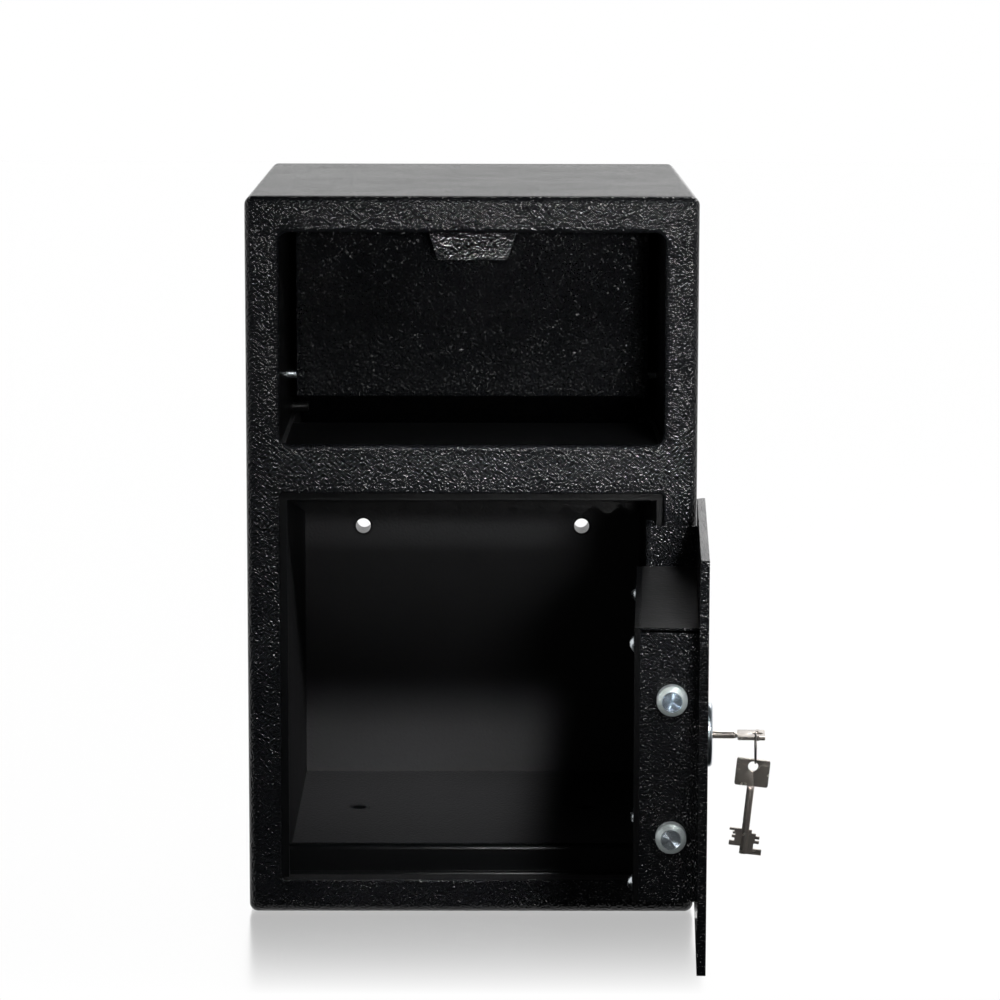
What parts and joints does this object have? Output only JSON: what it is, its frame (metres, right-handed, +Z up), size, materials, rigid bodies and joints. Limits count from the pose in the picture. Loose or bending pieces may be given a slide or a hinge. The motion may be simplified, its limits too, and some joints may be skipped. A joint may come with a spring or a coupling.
{
  "type": "deposit safe",
  "caption": "Upright steel drop safe: a tilting deposit hopper above a hinged door with key-driven locking bolts, shown with the door open.",
  "frame": {"origin": "centre of the body's base, on the floor", "axes": "+X to the right seen from the front, -Y out of the front, +Z up; the door is drawn open 87.3 degrees"},
  "size_m": [0.3967, 0.6746, 0.565],
  "materials": {
    "powder_coat": "black powder coat with a coarse hammered grain, half gloss",
    "hopper_coat": "black powder coat with a finer grain",
    "inside_coat": "dark grey powder coat, finer and less glossy than outside",
    "zinc": "bright zinc plate",
    "bare_steel": "bare mild steel",
    "ring_wire": "bright drawn wire",
    "nickel": "nickel plate, slightly soft",
    "bright_chrome": "polished chrome",
    "lever_brass": "stamped brass, bare"
  },
  "bodies": {
    "safe_body": {"outer_shell": "powder_coat", "back_panel": "powder_coat", "door_stop": "powder_coat", "door_sill": "powder_coat", "liner_left": "inside_coat", "liner_right": "inside_coat", "liner_back": "inside_coat", "liner_floor": "inside_coat", "liner_ceiling": "inside_coat", "recess_floor": "inside_coat", "recess_side_left": "inside_coat", "recess_side_right": "inside_coat", "hinge_lugs": "bare_steel", "pocket_wall": "inside_coat", "hinge_pins": "zinc", "hinge_washers": "zinc", "back_sleeves": "bare_steel", "floor_sleeves": "bare_steel", "hopper_stops": "hopper_coat", "hopper_pins": "zinc", "pin_clips": "bare_steel"},
    "door": {"door_plate": "powder_coat", "hinge_arm": "powder_coat", "hinge_knuckles": "bare_steel", "box_top": "inside_coat", "box_bottom": "powder_coat", "latch_plate": "powder_coat", "bolt_cover": "powder_coat", "cover_posts": "bare_steel", "cover_screws": "zinc", "bolt_guides": "bare_steel", "lock_case": "bare_steel", "lock_levers": "lever_brass", "lever_post": "bare_steel", "lock_screws": "zinc", "escutcheon": "bright_chrome"},
    "bolt_work": {"upper_bolt": "zinc", "lower_bolt": "zinc", "bolt_bar": "bare_steel", "bolt_rack": "bare_steel", "bar_screws": "zinc"},
    "lock_drive": {"drive_gear": "bare_steel", "drive_hub": "bare_steel", "key": "nickel"},
    "ring": {"key_ring": "ring_wire"},
    "hanging_key": {"spare_key": "nickel"},
    "hopper": {"hopper_panel": "hopper_coat", "pull_lip": "powder_coat", "hopper_cheek_left": "hopper_coat", "hopper_cheek_right": "hopper_coat", "hopper_chute": "hopper_coat"}
  },
  "joints": [
    {"name": "door_hinge", "type": "hinge", "parent": "safe_body", "child": "door", "pos_m": [0.163, -0.1735, 0.183], "axis": [0, 0, 1], "range_deg": [-87.3, 12.7]},
    {"name": "bolt_slide", "type": "slide", "parent": "door", "child": "bolt_work", "axis": [-0.0471, -0.9989, 0], "range_m": [0, 0.02199]},
    {"name": "key_turn", "type": "hinge", "parent": "door", "child": "lock_drive", "pos_m": [0.21248, -0.34702, 0.1775], "axis": [0.9989, -0.0471, 0], "range_deg": [0, 90]},
    {"name": "ring_hang", "type": "hinge", "parent": "lock_drive", "child": "ring", "pos_m": [0.21248, -0.34702, 0.1775], "axis": [0.9989, -0.0471, 0], "range_deg": [-90, 0]},
    {"name": "spare_key_swing", "type": "hinge", "parent": "ring", "child": "hanging_key", "pos_m": [0.21051, -0.35494, 0.15822], "axis": [0.0471, 0.9989, 0], "range_deg": [-60, 15]},
    {"name": "hopper_pivot", "type": "hinge", "parent": "safe_body", "child": "hopper", "pos_m": [0, -0.0425, 0.41], "axis": [1, 0, 0], "range_deg": [0, 84]}
  ],
  "couplings": [
    {"joint": "key_turn", "follows": "bolt_slide", "rad_per_m": 71.429},
    {"joint": "ring_hang", "follows": "bolt_slide", "rad_per_m": -71.429}
  ]
}
